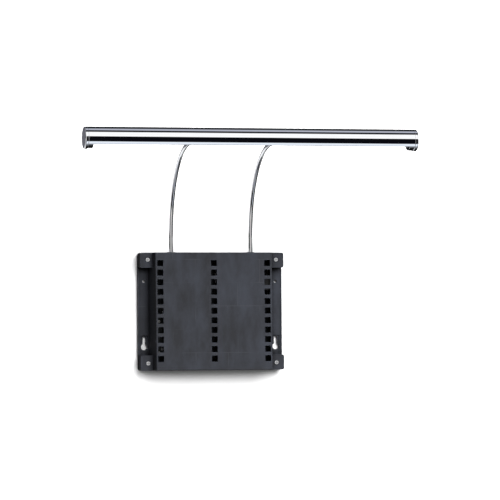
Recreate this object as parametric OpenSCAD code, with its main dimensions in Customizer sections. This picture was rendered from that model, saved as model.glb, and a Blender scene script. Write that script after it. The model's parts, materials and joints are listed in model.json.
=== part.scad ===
// Battery picture light: a black wall housing that carries the picture on its hook holes, two chrome arms
// that slide in it, and a chrome tube shade that tilts on the ends of the arms.
// X runs along the shade, Y into the wall and Z up. The origin is the middle of the housing's wall face.

/* [Housing] */
// Width over the side flanges
plate_w = 197; // [190:1:210]
// Height of the housing
plate_h = 156.5; // [156:0.5:165]
// Thickness of the back plate
plate_t = 4; // [3.5:0.5:5]
// Width of the cover's front face
cover_w = 158.8; // [158:0.2:162]
// How far each side wall leans out from front face to flange
cover_lean = 4.9; // [0:0.1:5]
// Depth from the wall to the front face at the top
depth_top = 28; // [27:0.5:34]
// Depth from the wall to the front face at the bottom
depth_low = 30.5; // [28:0.5:36]
// Wall thickness of the cover
wall_t = 2.2; // [1.8:0.1:2.4]

/* [Cover ears] */
// Height of a screw ear
ear_h = 20; // [18:1:24]
// Distance from the wall to an ear's front
ear_depth = 18.3; // [17:0.1:20]
// Screw distance from the flange's side edge
ear_screw_x = 10.8; // [9:0.1:12]
// Screw distance from the top or bottom edge
ear_screw_z = 9.5; // [8:0.1:11]

/* [Hook holes] */
// Side of a square hook hole
hook_side = 8.3; // [6:0.1:8.5]
// Height from one hook hole to the next
hook_pitch = 12.7; // [12:0.1:13]
// Hook holes in a column
hook_rows = 11; // [5:1:11]
// Distance from the middle column to an outer one
hook_col = 73; // [72:0.5:74]

/* [Wall fixing] */
// Distance of the wall holes from the middle
fix_x = 90.1; // [89:0.1:91]
// Height of the round wall holes above the middle
fix_z = 40.3; // [30:0.1:45]
// Diameter of the round wall holes
fix_d = 4.2; // [3.5:0.1:5]
// Depth of the keyhole centres below the middle
key_z = 46.9; // [40:0.1:48]
// Diameter of a keyhole's round end
key_d = 8.4; // [7:0.1:9]
// Rise of a keyhole's slot above its round end's centre
key_rise = 11.8; // [9:0.1:12.5]

/* [Arms] */
// Diameter of an arm
arm_d = 5.4; // [4:0.1:6]
// Distance between the two arms
arm_gap = 108.8; // [108:0.2:112]
// Distance from the wall to an arm's upright part
arm_off = 11.2; // [11:0.1:12]
// Straight length showing above the housing
arm_show = 20; // [18:1:30]
// Radius of the bend
bend_r = 118.6; // [100:0.2:120]

/* [Shade] */
// Length of the shade over its end caps
shade_len = 432; // [380:1:460]
// Outside diameter of the shade
shade_d = 28; // [26:0.5:29]
// Wall thickness of the shade
shade_wall = 0.9; // [0.8:0.1:1.2]
// Distance from the wall to the shade's axis
reach = 245; // [240:1:260]
// How far the shade's axis lies below the tilt hinge
shade_drop = 1.8; // [0:0.1:3]
// Front lip of the shade below its axis, in degrees
lip_angle = 39; // [30:1:45]
// Width of the light opening, in degrees
open_angle = 114; // [90:1:120]
// Thickness of an end cap outside the shade
cap_t = 4.4; // [3:0.1:6]
// Number of light emitting diodes
led_count = 24; // [8:1:30]

/* [Hidden] */
$fn = 64;
half_w = plate_w / 2;
half_h = plate_h / 2;
clear = 0.05;                      // radial running clearance
cover_base = cover_w / 2 + cover_lean;
lean_rate = cover_lean / (depth_top - plate_t);
lean_angle = atan(lean_rate);
screw_x = half_w - ear_screw_x;
screw_z = half_h - ear_screw_z;
hook_top = hook_pitch * (hook_rows - 1) / 2 + 0.6;
key_slot_d = fix_d;
key_pocket = 1.2;                  // depth of the pocket round a keyhole

arm_r = arm_d / 2;
arm_x = arm_gap / 2;
arm_low = -50;                     // height of an arm's lower end
bend_z = half_h + arm_show;
hinge_z = bend_z + bend_r;
hinge_back = 24;                   // distance from the shade's axis back to the hinge
hinge_y = -reach + hinge_back;
axis_z = hinge_z - shade_drop;
shade_r = shade_d / 2;
bore_r = shade_r - shade_wall;     // inside radius of the shade
open_turn = 270 - (360 - lip_angle - open_angle / 2);  // how far the opening leans off straight down
lens_drop = 5.4;                   // axis to the diffuser's inner face
lens_t = 1.5;
sleeve_t = 0.9;
sleeve_len = 6.6;

eye_half = 3;                      // half width of an arm's hinge eye
eye_r = 4.4;
washer_t = 0.65;
ear_in = eye_half + washer_t + clear;
ear_t = 3;
pin_r = 1.5;
pad_t = 0.8;                       // insulating pad between a bracket and the shade

bush_r = 4.4;
guide_top = 4;
guide_h = 10;
collar_low = 23;
collar_h = 6;

cell_r = 7.15;
cell_len = 49.5;
bay_w = 15.2;
bay_h = 56.5;
bay_wall = 1.5;
holder_in = 9;                     // nearest a holder comes to the middle plane
holder_w = 2 * bay_w + 3 * bay_wall;
holder_h = 2 * bay_h + 3 * bay_wall;
holder_top = 51;
holder_mid = holder_top - holder_h / 2;
holder_depth = 16;

door_w = 93.4;
door_t = 2.4;
door_low = holder_top - holder_h + 1.3;
door_high = holder_top - 0.3;
door_gap = 0.3;
door_pin_y = -door_t / 2;
door_pin_r = 0.75;

board_x = -71;
board_z = -34;
board_w = 15;
board_h = 50;
board_y = 6;                       // distance from the wall to the board's back
switch_z = 36;
switch_y = 13;
switch_travel = 4;

black = "#47474d";
dark = "#26262a";
chrome = "#d9dbe0";
steel = "#b9bcc2";
brass = "#c8a450";

// ---- helpers -------------------------------------------------------------------------------------

// A box between two corners.
module slab(low, high) {
    translate(low) cube(high - low);
}

// A rod of radius r from y_back to y_front, where both are distances from the wall.
module rod_y(x, z, r, y_back, y_front) {
    translate([x, -y_back, z]) rotate([90, 0, 0]) cylinder(r = r, h = y_front - y_back);
}

// A rod of radius r along X.
module rod_x(low, high, y, z, r) {
    translate([low, y, z]) rotate([0, 90, 0]) cylinder(r = r, h = high - low);
}

// Extrudes a (Y, Z) outline along X.
module along_x(low, high) {
    translate([low, 0, 0]) rotate([90, 0, 90]) linear_extrude(high - low) children();
}

// A rectangle with round corners, made of plain shapes.
module round_rect(w, h, r) {
    square([w, h - 2 * r], center = true);
    square([w - 2 * r, h], center = true);
    for (sx = [-1, 1], sz = [-1, 1])
        translate([sx * (w / 2 - r), sz * (h / 2 - r)]) circle(r);
}

// Stands a (X, Z) outline up so that it runs from y_back to y_front, as distances from the wall.
module along_y(y_back, y_front) {
    translate([0, -y_back, 0]) rotate([90, 0, 0]) linear_extrude(y_front - y_back) children();
}

// A round wire through the points.
module wire(points, r) {
    for (i = [0 : len(points) - 2]) {
        run = points[i + 1] - points[i];
        translate(points[i]) rotate([0, acos(run[2] / norm(run)), atan2(run[1], run[0])])
            cylinder(r = r, h = norm(run), $fn = 16);
    }
    for (i = [1 : 1 : len(points) - 2]) translate(points[i]) sphere(r, $fn = 16);
}

// A cross recess in a screw head whose outer face is at the origin, facing +Z.
module cross_recess(size, deep) {
    for (turn = [0, 90]) rotate([0, 0, turn]) cube([size, size / 4.5, 2 * deep], center = true);
}

// Places children at the four cover screws.
module at_cover_screws() {
    for (sx = [-1, 1], sz = [-1, 1]) translate([sx * screw_x, 0, sz * screw_z]) children();
}

// Shade frame: origin on the shade's axis, turned so that the opening faces -Z.
module in_shade() {
    translate([0, -reach, axis_z]) rotate([open_turn, 0, 0]) children();
}

// Switch frame: origin on the right wall's outer face, with +X pointing out of it.
module at_switch() {
    translate([cover_base - (switch_y - plate_t) * lean_rate, -switch_y, switch_z])
        rotate([0, 0, -lean_angle]) children();
}

// ---- housing -------------------------------------------------------------------------------------

module keyhole() {
    circle(key_d / 2);
    translate([0, key_rise]) circle(key_slot_d / 2);
    translate([-key_slot_d / 2, 0]) square([key_slot_d, key_rise]);
}

module back_plate() {
    rim_w = 1.2;
    rim_h = 0.8;
    color(black) difference() {
        union() {
            along_y(0, plate_t) round_rect(plate_w, plate_h, 3);
            for (sx = [-1, 1])
                slab([sx * (half_w - rim_w / 2) - rim_w / 2, -plate_t - rim_h, -half_h + ear_h + 1],
                     [sx * (half_w - rim_w / 2) + rim_w / 2, -plate_t, half_h - ear_h - 1]);
            for (sz = [-1, 1])
                rod_y(board_x, board_z + sz * (board_h / 2 - 4), 2.2, plate_t, board_y);
        }
        at_cover_screws() rod_y(0, 0, pin_r, 1, plate_t + 1);
        for (sz = [-1, 1])
            rod_y(board_x, board_z + sz * (board_h / 2 - 4), 0.9, 1.5, board_y + 1);
        for (sx = [-1, 1]) {
            rod_y(sx * fix_x, fix_z, fix_d / 2, -1, plate_t + 1);
            translate([sx * fix_x, 0, -key_z]) {
                along_y(-1, plate_t + 1) keyhole();
                translate([0, 0, 2.7]) along_y(plate_t - key_pocket, plate_t + 2)
                    round_rect(10.5, 25, 1.5);
            }
            rod_y(sx * (arm_x + 10), guide_top - guide_h / 2, 0.9, 1.5, plate_t + 1);
        }
        slab([-door_w / 2 - door_gap, -plate_t - 1, door_low - door_t / 2 - door_gap],
             [door_w / 2 + door_gap, 1, door_high + door_gap]);
        rod_x(-door_w / 2 - 4, door_w / 2 + 4, door_pin_y, door_low, door_pin_r + clear);
    }
}

// The cover's outside, or its hollow when inset is the wall thickness.
module cover_form(inset) {
    back = plate_t - (inset > 0 ? 1 : 0);
    deep = depth_low + 2;
    wide = cover_base + (plate_t - back) * lean_rate - inset;
    narrow = cover_base - (deep - plate_t) * lean_rate - inset;
    intersection() {
        translate([0, 0, -half_h + inset]) linear_extrude(plate_h - 2 * inset)
            polygon([[-wide, -back], [wide, -back], [narrow, -deep], [-narrow, -deep]]);
        along_x(-half_w, half_w) polygon([
            [-back, -half_h], [-back, half_h],
            [-depth_top + inset, half_h], [-depth_low + inset, -half_h]]);
    }
}

module front_cover() {
    ear_in_x = cover_w / 2 - 1;
    ear_out = half_w - 0.6;
    color(black) difference() {
        union() {
            difference() {
                cover_form(0);
                cover_form(wall_t);
            }
            difference() {
                for (sx = [-1, 1], sz = [-1, 1])
                    translate([sx * (ear_in_x + ear_out) / 2, 0, sz * (half_h - ear_h / 2)])
                        along_y(plate_t, ear_depth) round_rect(ear_out - ear_in_x, ear_h, 2.4);
                cover_form(wall_t);
            }
        }
        at_cover_screws() {
            rod_y(0, 0, pin_r + 0.2, plate_t - 1, ear_depth + 1);
            rod_y(0, 0, 3.4, ear_depth - 1.4, ear_depth + 1);
        }
        for (col = [-1 : 1], row = [0 : hook_rows - 1])
            translate([col * hook_col, -depth_top, hook_top - row * hook_pitch])
                cube([hook_side, 8, hook_side], center = true);
        for (sx = [-1, 1]) translate([sx * arm_x, -arm_off, half_h - wall_t - 1])
            cylinder(r = bush_r + clear, h = wall_t + 2);
        at_switch() slab([-wall_t - 1, -2.1, -5], [1, 2.1, 5]);
    }
}

module cover_screws() {
    head_r = 2.6;
    seat = ear_depth - 1.4;
    color(steel) at_cover_screws() difference() {
        union() {
            rod_y(0, 0, pin_r - clear, 1.5, seat);
            rod_y(0, 0, head_r, seat, ear_depth);
        }
        translate([0, -ear_depth, 0]) rotate([90, 0, 0]) cross_recess(3.6, 0.9);
    }
}

module battery_door() {
    barrel = door_t / 2;
    tab_w = 16;
    color(black) difference() {
        union() {
            slab([-door_w / 2, -door_t, door_low], [door_w / 2, 0, door_high]);
            rod_x(-door_w / 2, door_w / 2, door_pin_y, door_low, barrel);
        }
        rod_x(-door_w, door_w, door_pin_y, door_low, door_pin_r);
        for (sx = [-1, 1]) slab([sx * tab_w / 2 - 0.6, -plate_t, door_high - 12],
                                [sx * tab_w / 2 + 0.6, 1, door_high + 1]);
        for (i = [0 : 3]) slab([-tab_w / 2 + 2.5, -0.6, door_high - 10 + i * 2.2],
                               [tab_w / 2 - 2.5, 1, door_high - 9 + i * 2.2]);
    }
}

module door_pins() {
    color(steel) for (sx = [-1, 1])
        rod_x(sx * (door_w / 2 - 2.5) - 6, sx * (door_w / 2 - 2.5) + 6, door_pin_y, door_low,
              door_pin_r);
}

// Puts children at the centre of each of the four cell bays on one side.
module at_bays(side) {
    for (col = [-1, 1], row = [-1, 1])
        translate([side * (holder_in + holder_w / 2) + col * (bay_w + bay_wall) / 2,
                   -plate_t - cell_r + 0.6,
                   holder_mid + row * (bay_h + bay_wall) / 2])
            rotate([0, col > 0 ? 0 : 180, 0]) children();
}

module battery_holder(side) {
    mid = side * (holder_in + holder_w / 2);
    color(dark) difference() {
        slab([mid - holder_w / 2, -plate_t - holder_depth, holder_top - holder_h],
             [mid + holder_w / 2, -plate_t, holder_top]);
        at_bays(side) slab([-bay_w / 2, -cell_r - 0.2, -bay_h / 2], [bay_w / 2, 20, bay_h / 2]);
    }
}

module battery_cells(side) {
    color("#8a5a2b") at_bays(side) translate([0, 0, -bay_h / 2 + 5.4]) {
        cylinder(r = cell_r, h = cell_len);
        cylinder(r = 2.7, h = cell_len + 1);
    }
}

// A conical coil of wire: rings of six points that follow a tapering helix.
module cone_coil(r_low, r_high, height, turns, wire_r) {
    steps = 12 * turns;
    sides = 6;
    function at(i) = let (t = i / steps, a = 360 * turns * t, r = r_low + (r_high - r_low) * t)
        [for (k = [0 : sides - 1]) let (b = 360 * k / sides, q = r + wire_r * cos(b))
            [q * cos(a), q * sin(a), height * t + wire_r * sin(b)]];
    rings = [for (i = [0 : steps]) each at(i)];
    walls = [for (i = [0 : steps - 1], k = [0 : sides - 1]) let (n = (k + 1) % sides)
        [i * sides + k, i * sides + n, (i + 1) * sides + n, (i + 1) * sides + k]];
    first = [for (k = [sides - 1 : -1 : 0]) k];
    last = [for (k = [0 : sides - 1]) steps * sides + k];
    polyhedron(rings, concat(walls, [first, last]));
}

module contact_springs() {
    color(steel) for (side = [-1, 1]) at_bays(side)
        translate([0, 0, -bay_h / 2 + 1]) cone_coil(5.4, 2.6, 3.7, 3, 0.4);
}

module contact_plates() {
    color(brass) for (side = [-1, 1]) at_bays(side) for (sz = [-1, 1])
        translate([0, 0, sz * (bay_h / 2 - 0.2)]) cube([11, 11, 0.4], center = true);
}

module driver_board() {
    color("#15181a") difference() {
        slab([board_x - board_w / 2, -board_y - 1.6, board_z - board_h / 2],
             [board_x + board_w / 2, -board_y, board_z + board_h / 2]);
        for (sz = [-1, 1])
            rod_y(board_x, board_z + sz * (board_h / 2 - 4), 1.2, board_y - 1, board_y + 3);
    }
}

module board_parts() {
    face = board_y + 1.6;
    color(dark) {
        for (i = [0 : 2]) slab([board_x - 3, -face - 1.6, board_z - 12 + i * 9],
                               [board_x + 3, -face, board_z - 7 + i * 9]);
        rod_y(board_x - 2.5, board_z + 15, 3, face, face + 7);
        rod_y(board_x + 3.5, board_z - 16, 2.6, face, face + 4);
    }
}

module board_screws() {
    face = board_y + 1.6;
    color(steel) for (sz = [-1, 1]) translate([board_x, 0, board_z + sz * (board_h / 2 - 4)])
        difference() {
            union() {
                rod_y(0, 0, 0.85, 2, face);
                rod_y(0, 0, 1.9, face, face + 1.2);
            }
            translate([0, -face - 1.2, 0]) rotate([90, 0, 0]) cross_recess(2.2, 0.5);
        }
}

module switch_body() {
    color(dark) at_switch() difference() {
        slab([-9, -3.5, -8], [-wall_t, 3.5, 8]);
        slab([-5.6, -2.1, -6], [0, 2.1, 6]);
    }
}

module switch_knob() {
    low = -switch_travel / 2;
    color(black) at_switch() difference() {
        union() {
            slab([-5.3, -1.8, low - 3.6], [-3.4, 1.8, low + 3.6]);
            slab([-3.5, -1.8, low - 2.5], [0.8, 1.8, low + 2.5]);
        }
        for (i = [-1 : 1]) slab([0.4, -3, low + i * 1.4 - 0.3], [1, 3, low + i * 1.4 + 0.3]);
    }
}

// Leads lie on the back plate, behind the sliding collars, and run: left holder to board, board to left
// guide, right holder to switch, switch to right guide, and holder to holder.
module inner_leads() {
    r = 0.7;
    lead_y = -plate_t - 1.3;
    high = holder_top + 6;
    low = holder_top + 3;
    board_top = board_z + board_h / 2;
    guide_x = arm_x + 11;
    switch_x = 77;
    color("#1c1c1e") {
        wire([[-26, lead_y, holder_top], [-26, lead_y, high], [board_x, lead_y, high],
              [board_x, lead_y, board_top - 1.5]], r);
        wire([[-guide_x, lead_y, board_top - 1.5], [-guide_x, lead_y, guide_top - guide_h]], r);
        wire([[26, lead_y, holder_top], [26, lead_y, high], [switch_x, lead_y, high],
              [switch_x, 1 - switch_y, high], [switch_x, 1 - switch_y, switch_z + 8]], r);
        wire([[switch_x, 1 - switch_y, switch_z - 8], [switch_x, 1 - switch_y, switch_z - 16],
              [switch_x, lead_y, switch_z - 16], [guide_x, lead_y, switch_z - 16],
              [guide_x, lead_y, guide_top]], r);
        wire([[-22, lead_y, holder_top], [-22, lead_y, low], [22, lead_y, low],
              [22, lead_y, holder_top]], r);
    }
}

// ---- arms ----------------------------------------------------------------------------------------

module arm_bush(side) {
    color(dark) translate([side * arm_x, -arm_off, 0]) difference() {
        union() {
            translate([0, 0, half_h - wall_t - 1.2]) cylinder(r = bush_r, h = wall_t + 1.6);
            translate([0, 0, half_h]) cylinder(r = bush_r + 1, h = 0.8);
        }
        translate([0, 0, half_h - 10]) cylinder(r = arm_r + clear, h = 20);
    }
}

module arm_guide(side) {
    low = guide_top - guide_h;
    color(dark) difference() {
        union() {
            slab([side * arm_x - 6, -arm_off - 6, low], [side * arm_x + 6, -plate_t, guide_top]);
            slab([side * (arm_x + 9) - 5, -plate_t - 2, low],
                 [side * (arm_x + 9) + 5, -plate_t, guide_top]);
        }
        translate([side * arm_x, -arm_off, low - 1]) cylinder(r = arm_r + clear, h = guide_h + 2);
        slab([side * arm_x - 3.1, -arm_off - 4.2, low + 1.5],
             [side * arm_x + 3.1, -arm_off, guide_top - 1.5]);
        rod_y(side * (arm_x + 10), guide_top - guide_h / 2, 1.2, plate_t - 1, plate_t + 3);
    }
}

module guide_screws() {
    face = plate_t + 2;
    color(steel) for (side = [-1, 1]) translate([side * (arm_x + 10), 0, guide_top - guide_h / 2])
        difference() {
            union() {
                rod_y(0, 0, 0.85, 2, face);
                rod_y(0, 0, 2.1, face, face + 1.3);
            }
            translate([0, -face - 1.3, 0]) rotate([90, 0, 0]) cross_recess(2.4, 0.5);
        }
}

module arm_contacts() {
    near = arm_off + arm_r + clear;
    low = guide_top - guide_h + 1.6;
    high = guide_top - 1.6;
    color(brass) for (side = [-1, 1])
        slab([side * arm_x - 3, -near - 0.4, low], [side * arm_x + 3, -near, high]);
}

module arm(side) {
    color(chrome) translate([side * arm_x, -arm_off, 0]) {
        translate([0, 0, arm_low]) cylinder(r = arm_r, h = bend_z - arm_low);
        translate([0, -bend_r, bend_z]) rotate([0, 0, 90]) rotate([90, 0, 0])
            rotate_extrude(angle = 90, $fn = 128) translate([bend_r, 0]) circle(arm_r, $fn = 48);
        translate([0, -bend_r, hinge_z]) rotate([90, 0, 0])
            cylinder(r = arm_r, h = -hinge_y - arm_off - bend_r - 5.5);
    }
}

module stop_collar(side) {
    color(brass) translate([side * arm_x, -arm_off, collar_low]) difference() {
        cylinder(r = 4.8, h = collar_h);
        translate([0, 0, -1]) cylinder(r = arm_r, h = collar_h + 2);
        translate([0, 0, collar_h / 2]) rotate([90, 0, 0]) cylinder(r = 1.25, h = 10);
    }
}

module collar_screws() {
    color(steel) for (side = [-1, 1])
        translate([side * arm_x, -arm_off, collar_low + collar_h / 2]) difference() {
            rotate([90, 0, 0]) translate([0, 0, arm_r + 0.05]) cylinder(r = 1.2, h = 2);
            translate([0, -4.6, 0]) cube([2.6, 1, 0.5], center = true);
        }
}

module arm_eye(side) {
    neck_r = 3.4;
    color(chrome) translate([side * arm_x, hinge_y, hinge_z]) difference() {
        union() {
            rod_x(-eye_half, eye_half, 0, 0, eye_r);
            rotate([-90, 0, 0]) cylinder(r = eye_half, h = 16);
            translate([0, eye_r, 0]) rotate([-90, 0, 0]) cylinder(r = neck_r, h = 16 - eye_r);
        }
        rod_x(-5, 5, 0, 0, pin_r + clear);
        translate([0, 5.5, 0]) rotate([-90, 0, 0]) cylinder(r = arm_r, h = 12);
    }
}

// ---- shade ---------------------------------------------------------------------------------------

// The light opening as a wedge of the (Y, Z) plane in the shade frame.
module opening_wedge() {
    far = 2 * shade_r;
    half = open_angle / 2;
    polygon([[0, 0], [-far * sin(half), -far * cos(half)], [-far, -2 * far],
             [far, -2 * far], [far * sin(half), -far * cos(half)]]);
}

module shade_shell() {
    body = shade_len / 2 - cap_t;
    color(chrome) difference() {
        in_shade() along_x(-body, body) difference() {
            circle(shade_r, $fn = 128);
            circle(bore_r, $fn = 128);
            opening_wedge();
        }
        for (side = [-1, 1]) rod_y(side * arm_x, axis_z, pin_r, reach - 20, reach);
    }
}

module end_cap(side) {
    round_r = 1.4;
    color(chrome) translate([side * (shade_len / 2 - cap_t), -reach, axis_z])
        rotate([0, side * 90, 0]) {
            rotate_extrude($fn = 128) {
                square([shade_r - round_r, cap_t]);
                square([shade_r, cap_t - round_r]);
                intersection() {
                    translate([shade_r - round_r, cap_t - round_r]) circle(round_r, $fn = 64);
                    square([shade_r, cap_t]);
                }
            }
            difference() {
                translate([0, 0, -sleeve_len]) cylinder(r = bore_r - clear, h = sleeve_len + 0.5);
                translate([0, 0, -sleeve_len - 1])
                    cylinder(r = bore_r - clear - sleeve_t, h = sleeve_len + 1);
            }
        }
}

carrier_top = 8.2;
carrier_t = 1.2;
strip_t = 0.8;
led_t = 0.8;
strip_half = shade_len / 2 - cap_t - sleeve_len - 2;

module led_carrier() {
    half = shade_len / 2 - cap_t - 0.2;
    color("#c9ccd0") in_shade() {
        slab([-half, -7.9, carrier_top - carrier_t], [half, 7.9, carrier_top]);
        for (sy = [-1, 1]) slab([-strip_half, sy * 7.4 - 0.5, carrier_top - 3],
                                [strip_half, sy * 7.4 + 0.5, carrier_top]);
    }
}

module led_board() {
    top = carrier_top - carrier_t;
    color("white") in_shade() slab([-strip_half, -4, top - strip_t], [strip_half, 4, top]);
}

module leds() {
    top = carrier_top - carrier_t - strip_t;
    pitch = 2 * strip_half / led_count;
    color("#f2e6a8") in_shade() for (i = [0 : led_count - 1])
        translate([-strip_half + (i + 0.5) * pitch, 0, top - led_t / 2])
            cube([3.5, 2.8, led_t], center = true);
}

module diffuser() {
    half = strip_half + 1.8;
    color("#eef0f2", 0.8) in_shade() slab([-half, -10.4, -lens_drop - lens_t],
                                          [half, 10.4, -lens_drop]);
}

module shade_leads() {
    color("#1c1c1e") for (side = [-1, 1])
        wire([[side * (arm_x - 7), -reach + 3.6, axis_z + 5.6],
              [side * (arm_x - 3.2), -reach + 10.2, axis_z + 1.2]], 0.6);
}

module hinge_bracket(side) {
    web_back = hinge_y - 7.5;
    color(chrome) translate([side * arm_x, 0, 0]) difference() {
        union() {
            slab([-ear_in - ear_t, -reach + 8, axis_z - 5.5], [ear_in + ear_t, web_back, axis_z + 7.3]);
            for (sx = [-1, 1]) translate([sx * (ear_in + ear_t / 2), 0, 0]) {
                slab([-ear_t / 2, web_back - 1, hinge_z - 5], [ear_t / 2, hinge_y, hinge_z + 5]);
                rod_x(-ear_t / 2, ear_t / 2, hinge_y, hinge_z, 5);
            }
        }
        rod_x(-20, 20, -reach, axis_z, shade_r + pad_t);
        rod_x(-20, 20, hinge_y, hinge_z, pin_r + clear);
        rod_y(0, axis_z, pin_r, reach - 20, reach);
    }
}

module bracket_pad(side) {
    color(dark) translate([side * arm_x, 0, 0]) difference() {
        intersection() {
            slab([-ear_in - ear_t, -reach + 8, axis_z - 5.5], [ear_in + ear_t, -reach + 20, axis_z + 7.3]);
            rod_x(-20, 20, -reach, axis_z, shade_r + pad_t);
        }
        rod_x(-20, 20, -reach, axis_z, shade_r);
        rod_y(0, axis_z, pin_r, reach - 20, reach);
    }
}

rivet_washer_r = 2.8;
rivet_washer_t = 0.5;
// Distance from the wall to where a flat washer's rim meets the shade's round inside.
rivet_seat = reach - sqrt(pow(bore_r, 2) - pow(rivet_washer_r, 2)) + 0.03;

module bracket_rivets() {
    head_back = rivet_seat + rivet_washer_t;
    color(steel) for (side = [-1, 1]) {
        rod_y(side * arm_x, axis_z, pin_r - clear, -hinge_y + 7.5, head_back + 0.2);
        rod_y(side * arm_x, axis_z, 2.4, head_back, head_back + 0.9);
    }
}

module rivet_washers() {
    color(dark) for (side = [-1, 1]) difference() {
        rod_y(side * arm_x, axis_z, rivet_washer_r, rivet_seat, rivet_seat + rivet_washer_t);
        rod_y(side * arm_x, axis_z, pin_r, rivet_seat - 1, rivet_seat + 2);
    }
}

module pivot_screws() {
    head_x = ear_in + ear_t;
    color(steel) for (side = [-1, 1]) translate([side * arm_x, hinge_y, hinge_z])
        rotate([0, side * 90, 0]) difference() {
            union() {
                translate([0, 0, -head_x - 2.6]) cylinder(r = pin_r, h = 2 * head_x + 3);
                translate([0, 0, head_x]) cylinder(r = 3, h = 1.8);
            }
            translate([0, 0, head_x + 1.8]) cross_recess(3.4, 0.8);
        }
}

module pivot_nuts() {
    head_x = ear_in + ear_t;
    color(steel) for (side = [-1, 1]) translate([side * arm_x, hinge_y, hinge_z])
        rotate([0, side * 90, 0]) translate([0, 0, -head_x - 2.2]) difference() {
            cylinder(r = 3.1, h = 2.2, $fn = 6);
            translate([0, 0, -1]) cylinder(r = pin_r, h = 5);
        }
}

module friction_washers() {
    color(brass) for (side = [-1, 1], sx = [-1, 1])
        translate([side * arm_x + sx * (eye_half + clear + washer_t / 2), hinge_y, hinge_z])
            rotate([0, 90, 0]) difference() {
                cylinder(r = 3.9, h = washer_t, center = true);
                cylinder(r = pin_r + clear, h = 3, center = true);
            }
}

// ---- output --------------------------------------------------------------------------------------

back_plate();
front_cover();
cover_screws();
battery_door();
door_pins();
battery_holder(-1);  // battery_holder_left
battery_holder(1);  // battery_holder_right
battery_cells(-1);  // battery_cells_left
battery_cells(1);  // battery_cells_right
contact_springs();
contact_plates();
driver_board();
board_parts();
board_screws();
switch_body();
switch_knob();
inner_leads();
arm_bush(-1);  // arm_bush_left
arm_bush(1);  // arm_bush_right
arm_guide(-1);  // arm_guide_left
arm_guide(1);  // arm_guide_right
guide_screws();
arm_contacts();
arm(-1);  // arm_left
arm(1);  // arm_right
stop_collar(-1);  // stop_collar_left
stop_collar(1);  // stop_collar_right
collar_screws();
arm_eye(-1);  // arm_eye_left
arm_eye(1);  // arm_eye_right
shade_shell();
end_cap(-1);  // end_cap_left
end_cap(1);  // end_cap_right
led_carrier();
led_board();
leds();
diffuser();
shade_leads();
hinge_bracket(-1);  // hinge_bracket_left
hinge_bracket(1);  // hinge_bracket_right
bracket_pad(-1);  // bracket_pad_left
bracket_pad(1);  // bracket_pad_right
bracket_rivets();
rivet_washers();
pivot_screws();
pivot_nuts();
friction_washers();
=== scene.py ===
"""Finished look of a battery picture light: each piece is made around its frame piece and rides its body."""

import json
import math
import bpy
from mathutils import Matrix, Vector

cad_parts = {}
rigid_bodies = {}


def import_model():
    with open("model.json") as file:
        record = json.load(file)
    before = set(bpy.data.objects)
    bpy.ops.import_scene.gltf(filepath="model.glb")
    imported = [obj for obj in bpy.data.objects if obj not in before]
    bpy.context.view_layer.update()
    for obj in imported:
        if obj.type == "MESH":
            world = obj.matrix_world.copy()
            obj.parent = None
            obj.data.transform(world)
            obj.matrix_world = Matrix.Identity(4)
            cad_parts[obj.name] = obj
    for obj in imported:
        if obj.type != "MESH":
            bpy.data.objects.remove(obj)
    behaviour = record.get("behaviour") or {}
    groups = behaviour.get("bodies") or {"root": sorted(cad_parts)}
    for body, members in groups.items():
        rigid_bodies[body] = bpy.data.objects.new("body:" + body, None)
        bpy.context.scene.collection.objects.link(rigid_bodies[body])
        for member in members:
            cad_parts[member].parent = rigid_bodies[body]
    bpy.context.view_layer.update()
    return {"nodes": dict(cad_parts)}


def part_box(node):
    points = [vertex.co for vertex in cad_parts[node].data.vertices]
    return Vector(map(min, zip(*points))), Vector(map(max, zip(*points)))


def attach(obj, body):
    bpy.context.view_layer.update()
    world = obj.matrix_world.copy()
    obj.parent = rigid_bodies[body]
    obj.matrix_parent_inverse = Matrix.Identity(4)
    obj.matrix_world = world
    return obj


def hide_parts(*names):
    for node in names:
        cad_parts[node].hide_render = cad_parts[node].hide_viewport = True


bl_info = {
    "name": "Battery Picture Light",
    "version": (1, 0, 0),
    "blender": (4, 5, 0),
    "location": "3D View > Sidebar > Picture Light",
    "description": "Builds the finished pieces of a battery picture light around its frame",
    "category": "Add Mesh",
}

import bmesh
import bpy
from mathutils import Matrix, Vector

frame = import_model()

MM = 0.001
X_AXIS = Vector((1, 0, 0))
Y_AXIS = Vector((0, 1, 0))
Z_AXIS = Vector((0, 0, 1))
MERGE = 1e-6
FLAT = math.radians(0.4)
SHARP = math.radians(28)
SIDES = ("left", "right")
SCREW_HEAD = 2.6 * MM  # radius of a cover screw's head
SCREW_RIM = 2.2 * MM  # only edges farther out than this belong to its rim
WALL_GLOW = 0.62  # light added to open wall, away from the housing
SHADOW_REACH = 60 * MM  # how far the housing dims the wall


# ---- sizes and colours ---------------------------------------------------------------------------


def length(name, description, default):
    """A length property in metres."""
    return bpy.props.FloatProperty(name=name, description=description, default=default, min=0, unit="LENGTH")


def colour(name, description, default):
    """A colour property."""
    return bpy.props.FloatVectorProperty(name=name, description=description, default=default, size=3,
                                         min=0, max=1, subtype="COLOR")


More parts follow.
